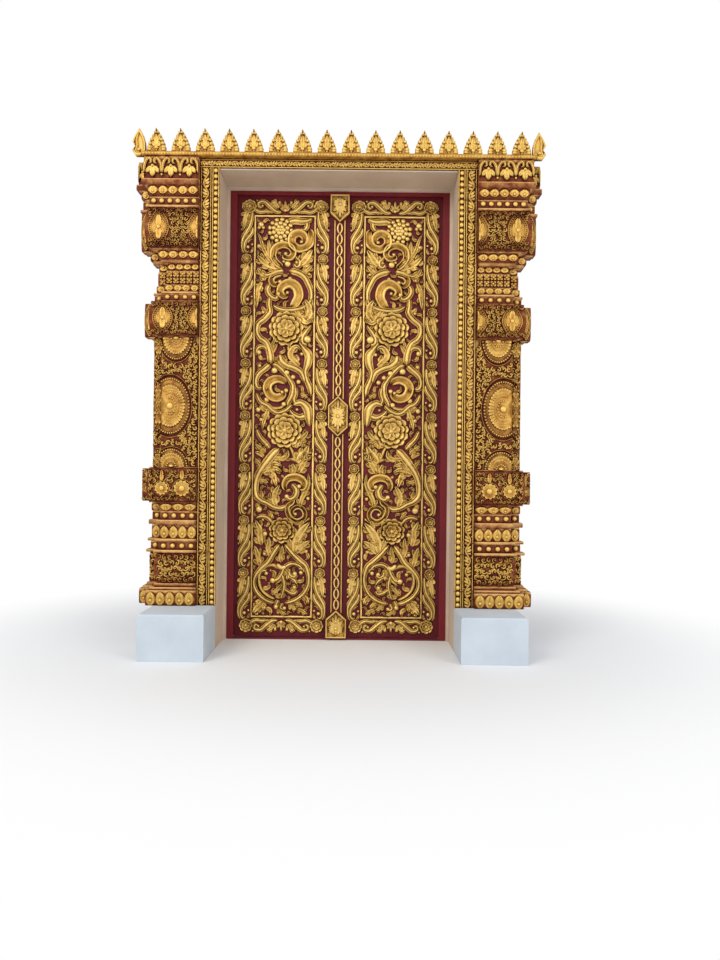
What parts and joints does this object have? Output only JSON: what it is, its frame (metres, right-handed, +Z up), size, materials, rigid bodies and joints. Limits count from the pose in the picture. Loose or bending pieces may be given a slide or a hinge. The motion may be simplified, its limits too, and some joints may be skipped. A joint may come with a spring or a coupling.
{
  "type": "carved temple door",
  "caption": "Pair of carved and gilded timber door leaves with astragal, in a rebated frame and plaster reveal between gilt stucco pilasters under a row of flame antefixes.",
  "frame": {"origin": "at landing level, midway between the jambs, in the plane of the closed leaves' front faces", "axes": "+Z up, +X to the right seen from outside, the carved outside faces -Y"},
  "size_m": [1.754, 0.53, 2.208],
  "materials": {
    "lacquered_leaf": "dark red lacquer",
    "lacquered_frame": "dark red lacquer",
    "gilt_wood": "gold leaf over carving",
    "gilt_stucco": "gold paint over stucco relief",
    "red_stucco": "red-brown painted stucco ground",
    "plaster": "matt cream plaster",
    "whitewash": "matt white paint on render",
    "iron": "dark oiled steel"
  },
  "bodies": {
    "surround": {"antefixes": "gilt_stucco", "cornice": "gilt_stucco", "head_rail": "lacquered_frame", "left_bead_strip": "gilt_stucco", "left_jamb": "lacquered_frame", "left_jamb_hinge_plates": "iron", "left_pilaster": "red_stucco", "left_pilaster_relief": "gilt_stucco", "left_plinth": "whitewash", "left_reveal": "plaster", "left_vine_strip": "gilt_stucco", "lintel_band": "gilt_stucco", "right_bead_strip": "gilt_stucco", "right_jamb": "lacquered_frame", "right_jamb_hinge_plates": "iron", "right_pilaster": "red_stucco", "right_pilaster_relief": "gilt_stucco", "right_plinth": "whitewash", "right_reveal": "plaster", "right_vine_strip": "gilt_stucco", "soffit": "plaster", "threshold": "lacquered_frame", "top_bolt_keeper": "iron"},
    "left_leaf": {"left_leaf_board": "lacquered_leaf", "left_scroll_carving": "gilt_wood", "left_border_carving": "gilt_wood", "left_panel_fillets": "gilt_wood", "astragal_strip": "lacquered_leaf", "astragal_chain": "gilt_wood", "astragal_edge_fillets": "gilt_wood", "astragal_top_tag": "gilt_wood", "astragal_middle_boss": "gilt_wood", "astragal_bottom_tag": "gilt_wood", "left_leaf_hinge_plates": "iron", "top_bolt_guides": "iron", "latch_bolt_keeper": "iron"},
    "right_leaf": {"right_leaf_board": "lacquered_leaf", "right_scroll_carving": "gilt_wood", "right_border_carving": "gilt_wood", "right_panel_fillets": "gilt_wood", "right_leaf_hinge_plates": "iron", "latch_bolt_guides": "iron"},
    "top_bolt": {"top_bolt": "iron"},
    "latch_bolt": {"latch_bolt": "iron"}
  },
  "joints": [
    {"name": "right_leaf_swing", "type": "hinge", "parent": "surround", "child": "right_leaf", "pos_m": [0.4785, 0.0477, 1.02], "axis": [0, 0, -1], "range_deg": [0, 120]},
    {"name": "left_leaf_swing", "type": "hinge", "parent": "surround", "child": "left_leaf", "pos_m": [-0.4785, 0.0477, 1.02], "axis": [0, 0, 1], "range_deg": [0, 90]},
    {"name": "top_bolt_slide", "type": "slide", "parent": "left_leaf", "child": "top_bolt", "axis": [0, 0, 1], "range_m": [0, 0.05]},
    {"name": "latch_bolt_slide", "type": "slide", "parent": "right_leaf", "child": "latch_bolt", "axis": [-1, 0, 0], "range_m": [0, 0.05]}
  ],
  "couplings": [
    {"joint": "left_leaf_swing", "follows": "right_leaf_swing", "ratio": 0.75}
  ]
}
